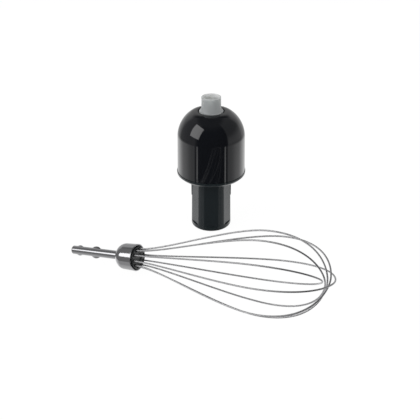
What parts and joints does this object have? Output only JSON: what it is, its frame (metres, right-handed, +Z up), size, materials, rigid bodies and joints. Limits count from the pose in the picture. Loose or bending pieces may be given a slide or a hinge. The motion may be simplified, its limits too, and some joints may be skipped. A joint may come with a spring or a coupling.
{
  "type": "immersion blender whisk attachment",
  "caption": "Geared whisk adapter for a hand blender, standing on its nose, with the wire balloon whisk that plugs into it lying in front.",
  "frame": {"origin": "middle of the footprint of the standing adapter and the lying whisk, on the surface they rest on", "axes": "+X from the whisk's stem to its tip, +Y from the whisk to the adapter behind it, +Z up"},
  "size_m": [0.195, 0.1375, 0.1046],
  "materials": {
    "dome_black": "high gloss moulding",
    "nose_black": "satin moulding",
    "natural_nylon": "translucent, slightly waxy",
    "plug_black": "satin moulding",
    "polished_steel": "polished stainless",
    "bright_steel": "turned or stamped",
    "sintered_bronze": "porous, oiled",
    "gear_acetal": "moulded",
    "black_rubber": "matt"
  },
  "bodies": {
    "housing": {"dome_housing": "dome_black", "nose_housing": "nose_black", "ring_gear": "gear_acetal", "upper_bush": "sintered_bronze", "lower_bush": "sintered_bronze", "thrust_washer": "bright_steel", "input_bearing": "bright_steel", "bearing_clip": "bright_steel", "shaft_seal": "black_rubber", "housing_seal": "black_rubber", "housing_screw_1": "bright_steel", "housing_screw_2": "bright_steel", "housing_screw_3": "bright_steel", "whisk_stem": "polished_steel", "ferrule_cup": "polished_steel", "wire_holder": "plug_black", "wire_loop_1": "polished_steel", "wire_loop_2": "polished_steel", "wire_loop_3": "polished_steel", "wire_loop_4": "polished_steel", "wire_loop_5": "polished_steel"},
    "input": {"drive_coupling": "natural_nylon", "coupling_screw": "bright_steel", "input_shaft": "bright_steel", "spacer_sleeve": "bright_steel", "shaft_clip": "bright_steel", "sun_gear": "bright_steel"},
    "carrier": {"planet_carrier": "gear_acetal", "carrier_cover": "gear_acetal", "planet_pin_1": "bright_steel", "planet_pin_2": "bright_steel", "planet_pin_3": "bright_steel", "output_spindle": "plug_black", "spindle_clip": "bright_steel"},
    "planet_1": {"planet_gear_1": "gear_acetal"},
    "planet_2": {"planet_gear_2": "gear_acetal"},
    "planet_3": {"planet_gear_3": "gear_acetal"}
  },
  "joints": [
    {"name": "carrier_spin", "type": "hinge", "parent": "housing", "child": "carrier", "pos_m": [-0.02534, 0.04272, 0.05], "axis": [0, 0, 1], "continuous": true},
    {"name": "input_spin", "type": "hinge", "parent": "housing", "child": "input", "pos_m": [-0.02534, 0.04272, 0.09], "axis": [0, 0, 1], "continuous": true},
    {"name": "planet_1_spin", "type": "hinge", "parent": "carrier", "child": "planet_1", "pos_m": [-0.01621, 0.04709, 0.0578], "axis": [0, 0, 1], "continuous": true},
    {"name": "planet_2_spin", "type": "hinge", "parent": "carrier", "child": "planet_2", "pos_m": [-0.03369, 0.04844, 0.0578], "axis": [0, 0, 1], "continuous": true},
    {"name": "planet_3_spin", "type": "hinge", "parent": "carrier", "child": "planet_3", "pos_m": [-0.02612, 0.03262, 0.0578], "axis": [0, 0, 1], "continuous": true}
  ],
  "couplings": [
    {"joint": "input_spin", "follows": "carrier_spin", "ratio": 4.5},
    {"joint": "planet_1_spin", "follows": "carrier_spin", "ratio": -2.8},
    {"joint": "planet_2_spin", "follows": "carrier_spin", "ratio": -2.8},
    {"joint": "planet_3_spin", "follows": "carrier_spin", "ratio": -2.8}
  ]
}
